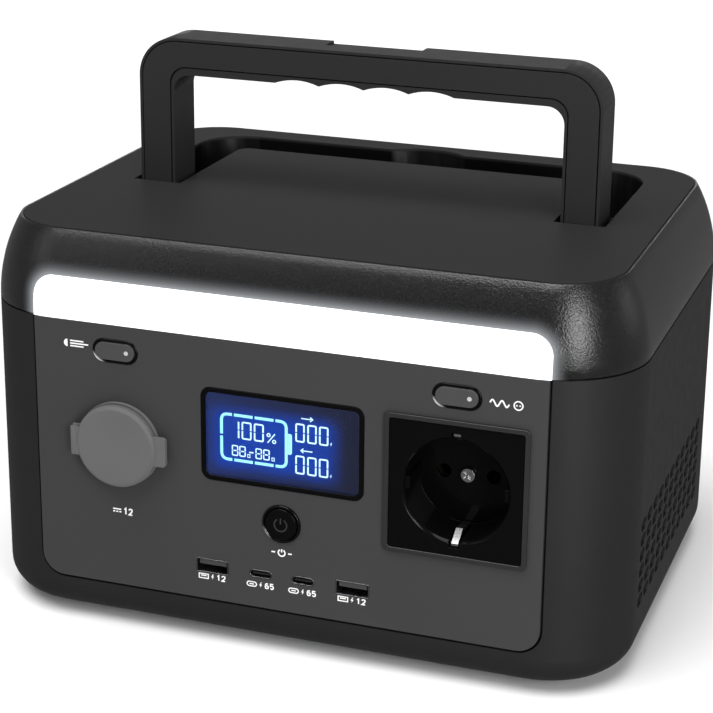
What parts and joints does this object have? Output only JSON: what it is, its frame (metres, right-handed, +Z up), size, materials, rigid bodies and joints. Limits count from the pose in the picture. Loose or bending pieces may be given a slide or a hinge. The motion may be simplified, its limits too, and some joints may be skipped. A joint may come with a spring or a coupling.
{
  "type": "portable power station",
  "caption": "Portable battery power station with a folding carry handle, front light bar, lit display, mains outlet, capped round socket, USB ports and side vents.",
  "frame": {"origin": "on the ground under the middle of the footprint", "axes": "+X to the right seen from the front, +Y from the front to the back, +Z up"},
  "size_m": [0.258, 0.2068, 0.217],
  "materials": {
    "case_black": "fine moulded texture",
    "shell_black": "fine moulded texture",
    "deck_black": "matte",
    "panel_grey": "matte",
    "lens_white": "opal diffuser, lit",
    "board_white": "solder mask",
    "led_lit": "lit",
    "gloss_black": "gloss",
    "display_glass": "clear",
    "display_lit": "lit blue",
    "bright_ring": "polished",
    "key_grey": "satin",
    "indicator_white": "clear",
    "plated_steel": "nickel plated",
    "cap_rubber": "matte",
    "bright_clip": "polished",
    "brass_contact": "plated",
    "tongue_white": "plain",
    "tongue_black": "plain",
    "board_green": "solder mask",
    "handle_black": "satin",
    "screw_steel": "zinc plated",
    "washer_nylon": "natural",
    "foot_rubber": "matte",
    "cell_wrap": "film wrap over a metal can",
    "tray_black": "plain",
    "heatsink_alu": "extruded",
    "transformer_core": "tape wrapped",
    "cap_can": "sleeved",
    "rotor_black": "plain"
  },
  "bodies": {
    "case": {"lower_case": "case_black", "upper_shell": "shell_black", "deck_plate": "deck_black", "front_panel": "panel_grey", "light_lens": "lens_white", "light_board": "board_white", "light_leds": "led_lit", "lcd_bezel": "gloss_black", "lcd_window": "display_glass", "lcd_screen": "display_lit", "led_bezel": "gloss_black", "ac_bezel": "gloss_black", "power_bezel": "bright_ring", "dc_socket": "gloss_black", "dc_contact": "plated_steel", "dc_tether": "cap_rubber", "outlet_frame": "gloss_black", "outlet_insert": "gloss_black", "outlet_clips": "bright_clip", "outlet_screw": "bright_clip", "outlet_sleeves": "brass_contact", "usb_a1_shell": "plated_steel", "usb_a1_tongue": "tongue_white", "usb_a2_shell": "plated_steel", "usb_a2_tongue": "tongue_white", "usb_c1_shell": "plated_steel", "usb_c1_tongue": "tongue_black", "usb_c2_shell": "plated_steel", "usb_c2_tongue": "tongue_black", "front_board": "board_green", "switches": "tongue_black", "pivot_pins": "screw_steel", "pivot_washers": "washer_nylon", "feet": "foot_rubber", "foot_screws": "screw_steel", "case_screws": "screw_steel", "battery_cells": "cell_wrap", "battery_tray": "tray_black", "battery_lid": "tray_black", "bus_bars": "plated_steel", "bms_board": "board_green", "inverter_board": "board_green", "heatsink": "heatsink_alu", "transformer": "transformer_core", "capacitors": "cap_can", "fan_frames": "tray_black", "inlet_jack": "gloss_black", "inlet_contact": "plated_steel"},
    "handle": {"handle_body": "handle_black", "handle_cover": "handle_black", "handle_screws": "screw_steel"},
    "light_key": {"led_button": "key_grey", "led_indicator": "indicator_white"},
    "outlet_key": {"ac_button": "key_grey", "ac_indicator": "indicator_white"},
    "power_key": {"power_button": "gloss_black"},
    "socket_cap": {"dc_cap": "cap_rubber"},
    "rotor_a": {"fan_rotor_a": "rotor_black"},
    "rotor_b": {"fan_rotor_b": "rotor_black"}
  },
  "joints": [
    {"name": "handle_fold", "type": "hinge", "parent": "case", "child": "handle", "pos_m": [0, 0.0015, 0.145], "axis": [-1, 0, 0], "range_deg": [0, 90]},
    {"name": "light_press", "type": "slide", "parent": "case", "child": "light_key", "axis": [0, 1, 0], "range_m": [0, 0.0008], "stiffness_N_per_m": 400},
    {"name": "outlet_press", "type": "slide", "parent": "case", "child": "outlet_key", "axis": [0, 1, 0], "range_m": [0, 0.0008], "stiffness_N_per_m": 400},
    {"name": "power_press", "type": "slide", "parent": "case", "child": "power_key", "axis": [0, 1, 0], "range_m": [0, 0.0008], "stiffness_N_per_m": 400},
    {"name": "cap_swing", "type": "hinge", "parent": "case", "child": "socket_cap", "pos_m": [-0.0836, -0.1011, 0.0777], "axis": [0, 0, -1], "range_deg": [0, 150]},
    {"name": "fan_a_spin", "type": "hinge", "parent": "case", "child": "rotor_a", "pos_m": [0.118, -0.026, 0.0425], "axis": [1, 0, 0], "continuous": true},
    {"name": "fan_b_spin", "type": "hinge", "parent": "case", "child": "rotor_b", "pos_m": [0.118, 0.018, 0.0425], "axis": [1, 0, 0], "continuous": true}
  ]
}
